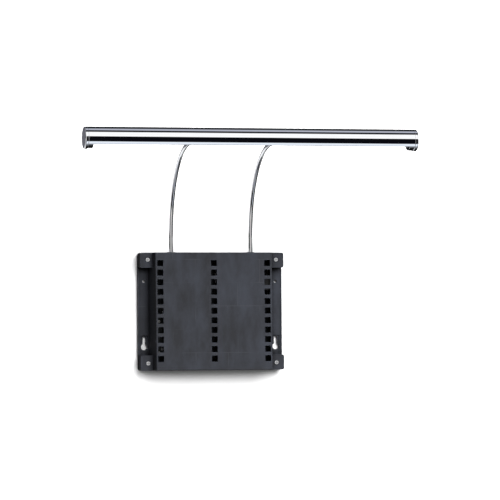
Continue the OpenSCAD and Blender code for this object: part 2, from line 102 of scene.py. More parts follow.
class PictureLightSizes(bpy.types.PropertyGroup):
    """Sizes that the frame doesn't give."""

    front_edge: length("Front edge", "Rounding of the cover's front outline", 1.3 * MM)
    moulding_edge: length("Moulding edge", "Rounding of the plastic pieces' other edges", 0.35 * MM)
    metal_edge: length("Metal edge", "Rounding of turned and pressed metal edges", 0.2 * MM)
    screw_dome: length("Screw dome", "Rounding of the cover screws' heads", 0.85 * MM)
    shade_wall: length("Shade wall", "Wall thickness of the shade", 0.9 * MM)
    shade_opening: bpy.props.FloatProperty(
        name="Light opening", description="Width of the shade's opening round its axis",
        default=math.radians(114), subtype="ANGLE")
    cap_thick: length("Cap thickness", "Thickness of an end cap outside the shade", 4.4 * MM)
    cap_round: length("Cap rounding", "Rounding of an end cap's outer edge", 1.4 * MM)
    sleeve_wall: length("Sleeve wall", "Wall thickness of an end cap's sleeve", 0.9 * MM)
    bend_radius: length("Bend radius", "Radius of an arm's bend at its middle line", 118.6 * MM)
    spring_wire: length("Spring wire", "Radius of the contact springs' wire", 0.4 * MM)
    round_steps: bpy.props.IntProperty(
        name="Round steps", description="Steps round the shade and its caps", default=128, min=24, max=256)


class PictureLightColours(bpy.types.PropertyGroup):
    """Base colours of the finishes."""

    housing: colour("Housing", "Textured black moulding", (0.036, 0.037, 0.042))
    inside: colour("Inside", "Smooth black moulding", (0.018, 0.018, 0.021))
    chrome: colour("Chrome", "Polished plate", (0.93, 0.94, 0.96))
    steel: colour("Steel", "Zinc plate", (0.80, 0.81, 0.83))
    brass: colour("Brass", "Bright brass", (0.80, 0.58, 0.27))
    wrap: colour("Cell wrap", "Dark part of a cell's wrap", (0.025, 0.026, 0.030))
    wrap_band: colour("Cell band", "Band at a cell's positive end", (0.52, 0.23, 0.07))
    board: colour("Board", "Solder mask of the driver board", (0.010, 0.013, 0.014))
    lead: colour("Lead", "Insulation of the leads", (0.013, 0.013, 0.014))
    strip: colour("Strip", "White solder mask of the light strip", (0.83, 0.83, 0.80))
    phosphor: colour("Phosphor", "Window of a light emitting diode", (0.86, 0.66, 0.16))
    lens: colour("Lens", "Frosted diffuser", (0.90, 0.92, 0.93))
    aluminium: colour("Aluminium", "Extruded carrier", (0.70, 0.71, 0.73))


# ---- shading -------------------------------------------------------------------------------------


def new_group(name, inputs, outputs):
    """An empty shader node group with float or vector sockets, and its input and output nodes."""
    tree = bpy.data.node_groups.new(name, "ShaderNodeTree")
    for socket, value in inputs.items():
        kind = "NodeSocketVector" if value is None else "NodeSocketFloat"
        item = tree.interface.new_socket(name=socket, in_out="INPUT", socket_type=kind)
        if value is not None:
            item.default_value = value
    for socket in outputs:
        tree.interface.new_socket(name=socket, in_out="OUTPUT", socket_type="NodeSocketFloat")
    return tree, tree.nodes.new("NodeGroupInput"), tree.nodes.new("NodeGroupOutput")


def add_node(tree, kind, **settings):
    """A new node with its settings; a value for an input is given as in_NAME or in_NUMBER."""
    node = tree.nodes.new(kind)
    for key, value in settings.items():
        if key.startswith("in_"):
            socket = key[3:].replace("_", " ")
            node.inputs[int(socket) if socket.isdigit() else socket].default_value = value
        else:
            setattr(node, key, value)
    return node


def math_node(tree, operation, first, second=None, clamp=False):
    """The output of a math node fed by sockets or plain numbers."""
    node = add_node(tree, "ShaderNodeMath", operation=operation, use_clamp=clamp)
    for number, source in enumerate((first, second)):
        if isinstance(source, (int, float)):
            node.inputs[number].default_value = source
        elif source is not None:
            tree.links.new(source, node.inputs[number])
    return node.outputs[0]


def noise(tree, coordinates, scale, detail=3.0, roughness=0.5):
    """The value of a noise texture; scale is a number or a socket."""
    node = add_node(tree, "ShaderNodeTexNoise", in_Detail=detail, in_Roughness=roughness)
    tree.links.new(coordinates, node.inputs["Vector"])
    if isinstance(scale, (int, float)):
        node.inputs["Scale"].default_value = scale
    else:
        tree.links.new(scale, node.inputs["Scale"])
    return node.outputs["Fac"]


def remap(tree, value, low, high, to_low=0.0, to_high=1.0):
    """Value stretched from one range to another and held at its ends."""
    node = add_node(tree, "ShaderNodeMapRange", in_1=low, in_2=high, in_3=to_low, in_4=to_high)
    tree.links.new(value, node.inputs[0])
    return node.outputs[0]


def grain_group():
    """Moulded grain: a fine spark-eroded height and a slow change of tone."""
    if "Moulded Grain" in bpy.data.node_groups:
        return bpy.data.node_groups["Moulded Grain"]
    tree, source, sink = new_group("Moulded Grain", {"Coordinates": None, "Scale": 1400.0, "Cloud": 28.0},
                                   ("Height", "Tone"))
    fine = noise(tree, source.outputs["Coordinates"], source.outputs["Scale"], 2.0)
    coarse = noise(tree, source.outputs["Coordinates"],
                   math_node(tree, "MULTIPLY", source.outputs["Scale"], 0.31), 2.0)
    height = math_node(tree, "ADD", math_node(tree, "MULTIPLY", fine, 0.6),
                       math_node(tree, "MULTIPLY", coarse, 0.4))
    cloud = noise(tree, source.outputs["Coordinates"], source.outputs["Cloud"], 4.0, 0.6)
    tree.links.new(height, sink.inputs["Height"])
    tree.links.new(remap(tree, cloud, 0.32, 0.68), sink.inputs["Tone"])
    return tree


def edge_group():
    """Edge wear: bright where a softened normal leaves the true one, broken up by noise."""
    if "Edge Wear" in bpy.data.node_groups:
        return bpy.data.node_groups["Edge Wear"]
    tree, source, sink = new_group("Edge Wear", {"Coordinates": None, "Radius": 0.0006, "Breakup": 220.0},
                                   ("Mask",))
    soft = add_node(tree, "ShaderNodeBevel", samples=4)
    tree.links.new(source.outputs["Radius"], soft.inputs["Radius"])
    plain = add_node(tree, "ShaderNodeNewGeometry")
    dot = add_node(tree, "ShaderNodeVectorMath", operation="DOT_PRODUCT")
    tree.links.new(soft.outputs["Normal"], dot.inputs[0])
    tree.links.new(plain.outputs["Normal"], dot.inputs[1])
    edge = remap(tree, dot.outputs["Value"], 0.995, 0.86)
    broken = remap(tree, noise(tree, source.outputs["Coordinates"], source.outputs["Breakup"], 4.0),
                   0.35, 0.62)
    tree.links.new(math_node(tree, "MULTIPLY", edge, broken, clamp=True), sink.inputs["Mask"])
    return tree


def dust_group():
    """Dust: a speckled film on faces that look up."""
    if "Settled Dust" in bpy.data.node_groups:
        return bpy.data.node_groups["Settled Dust"]
    tree, source, sink = new_group("Settled Dust", {"Coordinates": None, "Amount": 0.4}, ("Mask",))
    plain = add_node(tree, "ShaderNodeNewGeometry")
    parts = add_node(tree, "ShaderNodeSeparateXYZ")
    tree.links.new(plain.outputs["Normal"], parts.inputs[0])
    up = remap(tree, parts.outputs["Z"], 0.35, 0.95)
    speck = remap(tree, noise(tree, source.outputs["Coordinates"], 900.0, 3.0, 0.7), 0.42, 0.75)
    film = remap(tree, noise(tree, source.outputs["Coordinates"], 35.0, 3.0), 0.3, 0.7, 0.25, 1.0)
    mask = math_node(tree, "MULTIPLY", math_node(tree, "MULTIPLY", up, film), speck)
    tree.links.new(math_node(tree, "MULTIPLY", mask, source.outputs["Amount"], clamp=True),
                   sink.inputs["Mask"])
    return tree


def painted_crevice_shade_group():
    """Painted crevice shade: the colour is darkened where faces close by keep the light out."""
    if "Crevices" in bpy.data.node_groups:
        return bpy.data.node_groups["Crevices"]
    tree, source, sink = new_group("Crevices", {"Coordinates": None, "Distance": 0.003}, ("Mask",))
    near = add_node(tree, "ShaderNodeAmbientOcclusion", samples=4)
    tree.links.new(source.outputs["Distance"], near.inputs["Distance"])
    broken = remap(tree, noise(tree, source.outputs["Coordinates"], 300.0, 2.0), 0.3, 0.7, 0.8, 1.0)
    closed = remap(tree, near.outputs["AO"], 0.93, 0.45)
    tree.links.new(math_node(tree, "MULTIPLY", closed, broken, clamp=True), sink.inputs["Mask"])
    return tree


def mark_group():
    """Mould marks: faint insert outlines and smudges on a flat face that looks along Y."""
    if "Mould Marks" in bpy.data.node_groups:
        return bpy.data.node_groups["Mould Marks"]
    tree, source, sink = new_group("Mould Marks", {"Coordinates": None, "Width": 0.044, "Height": 0.031},
                                   ("Line", "Smudge"))
    turn = add_node(tree, "ShaderNodeMapping", in_Location=(0.012, 0.007, 0), in_Rotation=(math.pi / 2, 0, 0))
    tree.links.new(source.outputs["Coordinates"], turn.inputs["Vector"])
    inserts = add_node(tree, "ShaderNodeTexBrick", offset=0.31, in_Scale=1.0, in_Mortar_Size=0.0003,
                       in_Mortar_Smooth=0.4)
    tree.links.new(turn.outputs[0], inserts.inputs["Vector"])
    tree.links.new(source.outputs["Width"], inserts.inputs["Brick Width"])
    tree.links.new(source.outputs["Height"], inserts.inputs["Row Height"])
    worn = remap(tree, noise(tree, source.outputs["Coordinates"], 26.0, 2.0), 0.46, 0.6)
    tree.links.new(math_node(tree, "MULTIPLY", inserts.outputs["Fac"], worn), sink.inputs["Line"])
    stretched = add_node(tree, "ShaderNodeMapping", in_Scale=(1.0, 1.0, 0.45))
    tree.links.new(source.outputs["Coordinates"], stretched.inputs["Vector"])
    smudge = noise(tree, stretched.outputs[0], 34.0, 5.0, 0.62)
    tree.links.new(remap(tree, smudge, 0.36, 0.66), sink.inputs["Smudge"])
    return tree


def streak_group():
    """Streaks: fine lines along X, as drawing, brushing or wiping leaves them, with a slow smear."""
    if "Fine Streaks" in bpy.data.node_groups:
        return bpy.data.node_groups["Fine Streaks"]
    tree, source, sink = new_group("Fine Streaks", {"Coordinates": None, "Pitch": 2600.0, "Stretch": 0.02},
                                   ("Height", "Smear"))
    squeeze = add_node(tree, "ShaderNodeCombineXYZ", in_Y=1.0, in_Z=1.0)
    tree.links.new(source.outputs["Stretch"], squeeze.inputs["X"])
    drawn = add_node(tree, "ShaderNodeVectorMath", operation="MULTIPLY")
    tree.links.new(source.outputs["Coordinates"], drawn.inputs[0])
    tree.links.new(squeeze.outputs[0], drawn.inputs[1])
    lines = noise(tree, drawn.outputs[0], source.outputs["Pitch"], 2.0)
    tree.links.new(lines, sink.inputs["Height"])
    smear = noise(tree, source.outputs["Coordinates"], 40.0, 4.0, 0.6)
    tree.links.new(remap(tree, smear, 0.35, 0.7), sink.inputs["Smear"])
    return tree


class Finish:
    """A material under construction: its tree, its shader and the piece's own coordinates."""

    def __init__(self, name, **shader_values):
        self.material = bpy.data.materials.new(name)
        self.material.use_nodes = True
        self.tree = self.material.node_tree
        self.shader = self.tree.nodes["Principled BSDF"]
        self.place = self.tree.nodes.new("ShaderNodeTexCoord").outputs["Object"]
        for socket, value in shader_values.items():
            self.shader.inputs[socket.replace("_", " ")].default_value = value

    def group(self, group, **values):
        """A shared effect placed in this material with its own values."""
        node = add_node(self.tree, "ShaderNodeGroup", node_tree=group)
        self.tree.links.new(self.place, node.inputs["Coordinates"])
        for socket, value in values.items():
            node.inputs[socket].default_value = value
        return node

    def blend(self, mask, first, second):
        """A colour that goes from first to second with the mask; each is a colour or a socket."""
        node = add_node(self.tree, "ShaderNodeMix", data_type="RGBA")
        self.tree.links.new(mask, node.inputs[0])
        for number, source in ((6, first), (7, second)):
            if isinstance(source, bpy.types.NodeSocket):
                self.tree.links.new(source, node.inputs[number])
            else:
                node.inputs[number].default_value = (*source, 1)
        return node.outputs[2]

    def feed(self, socket, value):
        """Links a value to one of the shader's sockets."""
        self.tree.links.new(value, self.shader.inputs[socket])

    def bump(self, height, strength, distance):
        """Feeds the shader's normal with a bump."""
        node = add_node(self.tree, "ShaderNodeBump", in_Strength=strength, in_Distance=distance)
        self.tree.links.new(height, node.inputs["Height"])
        self.feed("Normal", node.outputs[0])


def scaled(tone, factor):
    """A colour made lighter or darker."""
    return tuple(min(1.0, value * factor) for value in tone)


def cached(build):
    """Keeps one material per finish."""
    made = {}

    def get(*given):
        if given not in made:
            made[given] = build(*given)
        return made[given]

    return get


@cached
def housing_plastic():
    """Black moulding: spark-eroded grain, mould marks, smudges, painted shade in the crevices, worn edges
    with a painted bluish highlight, and some dust.
    """
    tone = tuple(bpy.context.scene.picture_light_colours.housing)
    finish = Finish("housing_plastic", Specular_IOR_Level=0.1)
    grain = finish.group(grain_group(), Scale=1500.0, Cloud=24.0)
    marks = finish.group(mark_group())
    edge = finish.group(edge_group(), Radius=0.0008, Breakup=260.0)
    crevice_shade = finish.group(painted_crevice_shade_group(), Distance=0.008)
    dust = finish.group(dust_group(), Amount=0.3)
    body = finish.blend(marks.outputs["Smudge"], scaled(tone, 0.72),
                        (tone[0] * 1.12, tone[1] * 1.18, tone[2] * 1.28))
    faint = math_node(finish.tree, "MULTIPLY", marks.outputs["Line"], 0.5)
    lined = finish.blend(faint, body, scaled(tone, 1.9))
    # The edges are worn lighter, and their bluish tint is a painted highlight.
    worn = finish.blend(math_node(finish.tree, "MULTIPLY", edge.outputs[0], 0.5), lined,
                        (tone[0] * 3.4, tone[1] * 3.9, tone[2] * 4.6))
    dusty = finish.blend(dust.outputs[0], worn, (0.30, 0.32, 0.34))
    # Painted shade: crevices darken almost to black where faces close by keep the light out.
    finish.feed("Base Color", finish.blend(crevice_shade.outputs[0], dusty, scaled(tone, 0.08)))
    gloss = remap(finish.tree, grain.outputs["Height"], 0.3, 0.7, 0.44, 0.6)
    finish.feed("Roughness", math_node(finish.tree, "SUBTRACT", gloss,
                                       math_node(finish.tree, "MULTIPLY", edge.outputs[0], 0.16)))
    finish.bump(grain.outputs["Height"], 0.35, 0.12 * MM)
    return finish.material


@cached
def inner_plastic():
    """Smooth black moulding of the pieces inside."""
    tone = tuple(bpy.context.scene.picture_light_colours.inside)
    finish = Finish("inner_plastic")
    grain = finish.group(grain_group(), Scale=2400.0, Cloud=60.0)
    edge = finish.group(edge_group(), Radius=0.0004, Breakup=400.0)
    body = finish.blend(grain.outputs["Tone"], scaled(tone, 0.8), scaled(tone, 1.3))
    finish.feed("Base Color", finish.blend(math_node(finish.tree, "MULTIPLY", edge.outputs[0], 0.3),
                                           body, scaled(tone, 3.0)))
    finish.feed("Roughness", remap(finish.tree, grain.outputs["Tone"], 0.0, 1.0, 0.34, 0.46))
    finish.bump(grain.outputs["Height"], 0.2, 0.05 * MM)
    return finish.material


@cached
def chrome_plate():
    """Polished plate: mirror bright, with faint wiping marks that only show in its gloss."""
    tone = tuple(bpy.context.scene.picture_light_colours.chrome)
    finish = Finish("chrome_plate", Metallic=1.0)
    streak = finish.group(streak_group(), Pitch=1800.0, Stretch=0.05)
    finish.feed("Base Color", finish.blend(streak.outputs["Smear"], tone, scaled(tone, 0.97)))
    smear = remap(finish.tree, streak.outputs["Smear"], 0.0, 1.0, 0.022, 0.05)
    finish.feed("Roughness", smear)
    finish.bump(streak.outputs["Height"], 0.02, 0.01 * MM)
    return finish.material


@cached
def zinc_steel():
    """Bright zinc plate on fasteners and springs, with painted shade in the recesses."""
    tone = tuple(bpy.context.scene.picture_light_colours.steel)
    finish = Finish("zinc_steel", Metallic=0.7)
    grain = finish.group(grain_group(), Scale=3200.0, Cloud=420.0)
    edge = finish.group(edge_group(), Radius=0.0003, Breakup=900.0)
    crevice_shade = finish.group(painted_crevice_shade_group(), Distance=0.0009)
    body = finish.blend(grain.outputs["Tone"], scaled(tone, 0.9), scaled(tone, 1.1))
    bare = finish.blend(edge.outputs[0], body, (0.9, 0.9, 0.92))
    # Painted shade: recesses darken almost to black where faces close by keep the light out.
    finish.feed("Base Color", finish.blend(crevice_shade.outputs[0], bare, scaled(tone, 0.03)))
    finish.feed("Roughness", remap(finish.tree, grain.outputs["Height"], 0.3, 0.7, 0.26, 0.4))
    finish.bump(grain.outputs["Height"], 0.12, 0.03 * MM)
    return finish.material


@cached
def bright_brass():
    """Brass with a trace of tarnish."""
    tone = tuple(bpy.context.scene.picture_light_colours.brass)
    finish = Finish("bright_brass", Metallic=1.0)
    streak = finish.group(streak_group(), Pitch=2200.0, Stretch=0.08)
    finish.feed("Base Color", finish.blend(streak.outputs["Smear"], tone,
                                           (tone[0] * 0.8, tone[1] * 0.72, tone[2] * 0.6)))
    finish.feed("Roughness", remap(finish.tree, streak.outputs["Smear"], 0.0, 1.0, 0.2, 0.36))
    finish.bump(streak.outputs["Height"], 0.15, 0.02 * MM)
    return finish.material


@cached
def shrink_wrap(tone):
    """Printed shrink wrap of a cell, in one of its two tones."""
    finish = Finish("shrink_wrap", Coat_Weight=0.6, Coat_Roughness=0.08)
    grain = finish.group(grain_group(), Scale=700.0, Cloud=120.0)
    finish.feed("Base Color", finish.blend(grain.outputs["Tone"], scaled(tone, 0.92), scaled(tone, 1.08)))
    finish.feed("Roughness", remap(finish.tree, grain.outputs["Tone"], 0.0, 1.0, 0.22, 0.3))
    finish.bump(grain.outputs["Height"], 0.08, 0.05 * MM)
    return finish.material


@cached
def board_mask():
    """Black solder mask over straight copper tracks."""
    tone = tuple(bpy.context.scene.picture_light_colours.board)
    finish = Finish("board_mask", Coat_Weight=0.3, Coat_Roughness=0.15)
    tracks = add_node(finish.tree, "ShaderNodeTexBrick", offset=0.37, in_Scale=1.0, in_Mortar_Size=0.00025,
                      in_Brick_Width=0.0061, in_Row_Height=0.0023)
    turn = add_node(finish.tree, "ShaderNodeMapping", in_Rotation=(math.pi / 2, 0, 0))
    finish.tree.links.new(finish.place, turn.inputs["Vector"])
    finish.tree.links.new(turn.outputs[0], tracks.inputs["Vector"])
    finish.feed("Base Color", finish.blend(tracks.outputs["Fac"], tone, scaled(tone, 1.9)))
    grain = finish.group(grain_group(), Scale=2000.0, Cloud=90.0)
    finish.feed("Roughness", remap(finish.tree, grain.outputs["Tone"], 0.0, 1.0, 0.3, 0.42))
    finish.bump(tracks.outputs["Fac"], 0.4, 0.04 * MM)
    return finish.material


@cached
def lead_rubber():
    """Soft insulation of the leads."""
    tone = tuple(bpy.context.scene.picture_light_colours.lead)
    finish = Finish("lead_rubber")
    grain = finish.group(grain_group(), Scale=1800.0, Cloud=80.0)
    finish.feed("Base Color", finish.blend(grain.outputs["Tone"], scaled(tone, 0.85), scaled(tone, 1.1)))
    finish.feed("Roughness", remap(finish.tree, grain.outputs["Height"], 0.3, 0.7, 0.38, 0.5))
    finish.bump(grain.outputs["Height"], 0.15, 0.05 * MM)
    return finish.material


@cached
def strip_mask():
    """White solder mask with pale pads showing between the diodes."""
    tone = tuple(bpy.context.scene.picture_light_colours.strip)
    finish = Finish("strip_mask")
    tracks = add_node(finish.tree, "ShaderNodeTexBrick", offset=0.5, in_Scale=1.0, in_Mortar_Size=0.0003,
                      in_Brick_Width=0.0082, in_Row_Height=0.0027)
    finish.tree.links.new(finish.place, tracks.inputs["Vector"])
    finish.feed("Base Color", finish.blend(tracks.outputs["Fac"], tone, (0.72, 0.70, 0.62)))
    grain = finish.group(grain_group(), Scale=2000.0, Cloud=70.0)
    finish.feed("Roughness", remap(finish.tree, grain.outputs["Tone"], 0.0, 1.0, 0.4, 0.52))
    finish.bump(tracks.outputs["Fac"], 0.3, 0.03 * MM)
    return finish.material


@cached
def phosphor_gel():
    """Yellow silicone window of a diode."""
    tone = tuple(bpy.context.scene.picture_light_colours.phosphor)
    finish = Finish("phosphor_gel", Coat_Weight=0.5, Coat_Roughness=0.05)
    grain = finish.group(grain_group(), Scale=4000.0, Cloud=900.0)
    finish.feed("Base Color", finish.blend(grain.outputs["Tone"], scaled(tone, 0.9), scaled(tone, 1.1)))
    finish.feed("Roughness", remap(finish.tree, grain.outputs["Height"], 0.3, 0.7, 0.25, 0.35))
    return finish.material


@cached
def frosted_acrylic():
    """Milky lens with a fine satin surface."""
    tone = tuple(bpy.context.scene.picture_light_colours.lens)
    finish = Finish("frosted_acrylic", Transmission_Weight=0.45, IOR=1.49)
    grain = finish.group(grain_group(), Scale=2600.0, Cloud=30.0)
    finish.feed("Base Color", finish.blend(grain.outputs["Tone"], tone, scaled(tone, 0.97)))
    finish.feed("Roughness", remap(finish.tree, grain.outputs["Height"], 0.3, 0.7, 0.38, 0.5))
    finish.bump(grain.outputs["Height"], 0.15, 0.05 * MM)
    return finish.material


@cached
def extruded_aluminium():
    """Mill-finish extrusion with drawing lines along its length."""
    tone = tuple(bpy.context.scene.picture_light_colours.aluminium)
    finish = Finish("extruded_aluminium", Metallic=1.0)
    streak = finish.group(streak_group(), Pitch=2800.0, Stretch=0.01)
    finish.feed("Base Color", finish.blend(streak.outputs["Smear"], tone, scaled(tone, 0.88)))
    finish.feed("Roughness", remap(finish.tree, streak.outputs["Height"], 0.3, 0.7, 0.26, 0.44))
    finish.bump(streak.outputs["Height"], 0.3, 0.03 * MM)
    return finish.material


# ---- shaping -------------------------------------------------------------------------------------


def body_of(node):
    """The body that a frame piece rides on."""
    return frame["nodes"][node].parent.name.split(":", 1)[1]


def from_node(node):
    """A merged copy of a frame piece with its flat faces joined."""
    bm = bmesh.new()
    bm.from_mesh(frame["nodes"][node].data)
    bmesh.ops.remove_doubles(bm, verts=bm.verts, dist=MERGE)
    bmesh.ops.dissolve_limit(bm, angle_limit=FLAT, verts=bm.verts, edges=bm.edges)
    return bm


def soften(bm, width, segments=2, chosen=None):
    """Rounds the sharp edges, or the chosen ones."""
    edges = chosen
    if edges is None:
        edges = [edge for edge in bm.edges if edge.is_manifold and edge.calc_face_angle(0) > SHARP]
    if edges:
        bmesh.ops.bevel(bm, geom=edges, offset=width, offset_type="OFFSET", segments=segments, profile=0.5,
                        affect="EDGES", clamp_overlap=True, material=-1)


def islands(bm):
    """The low and high corners of each separate solid, sorted by their centres."""
    left = set(bm.verts)
    boxes = []
    while left:
        stack = [left.pop()]
        places = []
        while stack:
            vert = stack.pop()
            places.append(vert.co.copy())
            for edge in vert.link_edges:
                other = edge.other_vert(vert)
                if other in left:
                    left.discard(other)
                    stack.append(other)
        low = Vector([min(place[i] for place in places) for i in range(3)])
        high = Vector([max(place[i] for place in places) for i in range(3)])
        boxes.append((low, high))
    return sorted(boxes, key=lambda box: tuple(round(value, 5) for value in box[0] + box[1]))


def solids_of(node):
    """The boxes of a frame piece's separate solids."""
    bm = from_node(node)
    boxes = islands(bm)
    bm.free()
    return boxes


def block(bm, low, high, place=None):
    """Adds a box between two corners, moved by a matrix where one is given, and returns its faces."""
    low = Vector(low)
    high = Vector(high)
    size = Matrix.Diagonal((*(high - low), 1))
    matrix = (place or Matrix()) @ Matrix.Translation((low + high) / 2) @ size
    made = bmesh.ops.create_cube(bm, size=1, matrix=matrix)
    return list({face for vert in made["verts"] for face in vert.link_faces})


def arc(along, radius, size, start, stop, steps=6):
    """Points of an arc in (along, radius) form, with its angles in degrees from the axis direction."""
    angles = [math.radians(start + (stop - start) * i / steps) for i in range(steps + 1)]
    return [(along + size * math.cos(a), radius + size * math.sin(a)) for a in angles]


def lathe(bm, outline, centre, axis, steps=48):
    """Spins (along, radius) points about an axis, closes the seam and poles, returns the faces."""
    axis = Vector(axis).normalized()
    side = Z_AXIS if abs(axis.z) < 0.5 else X_AXIS
    centre = Vector(centre)
    verts = [bm.verts.new(centre + axis * along + side * radius) for along, radius in outline]
    edges = [bm.edges.new(pair) for pair in zip(verts, verts[1:])]
    before = set(bm.faces)
    bmesh.ops.spin(bm, geom=verts + edges, cent=centre, axis=axis, dvec=(0, 0, 0), angle=2 * math.pi,
                   steps=steps, use_merge=True, use_duplicate=False)
    faces = [face for face in bm.faces if face not in before]
    verts = list({vert for face in faces for vert in face.verts})
    bmesh.ops.remove_doubles(bm, verts=verts, dist=MERGE)
    faces = [face for face in bm.faces if face not in before]
    bmesh.ops.recalc_face_normals(bm, faces=faces)
    return faces


def add_piece(name, bm, material, nodes, more=(), angle=SHARP, weighted=True):
    """Makes an object of the mesh, rides it on the frame pieces' body and lets it stand for them."""
    mesh = bpy.data.meshes.new(name)
    bm.to_mesh(mesh)
    bm.free()
    for item in (material, *more):
        mesh.materials.append(item)
    mesh.shade_smooth()
    mesh.set_sharp_from_angle(angle=angle)
    piece = bpy.data.objects.new(name, mesh)
    bpy.context.scene.collection.objects.link(piece)
    if weighted:
        even = piece.modifiers.new("even_normals", "WEIGHTED_NORMAL")
        even.keep_sharp = True
    settle(piece, nodes)
    return piece


def settle(piece, nodes):
    """Rides a piece on its frame pieces' body and in their stead."""
    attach(piece, body_of(nodes[0]))
    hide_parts(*nodes)


def refined(node, material, width, segments=2):
    """A copy of a frame piece with rounded edges."""
    bm = from_node(node)
    soften(bm, width, segments)
    return add_piece(f"{node}_finished", bm, material, [node])


def shade_axis():
    """A point on the shade's axis, in the middle of its length, and the shade's radius."""
    low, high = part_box("end_cap_left")
    return Vector((0, (low.y + high.y) / 2, (low.z + high.z) / 2)), (high.z - low.z) / 2


def lip_turn():
    """How far the shade's front lip lies below the horizontal through its axis."""
    axis, radius = shade_axis()
    return math.asin((axis.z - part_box("shade_shell")[0].z) / radius)


def shade_place(sizes):
    """The matrix of the shade's own frame, whose -Z looks out of the light opening."""
    lean = lip_turn() + sizes.shade_opening / 2 - math.pi / 2
    return Matrix.Translation(shade_axis()[0]) @ Matrix.Rotation(lean, 4, "X")


# ---- operators -----------------------------------------------------------------------------------


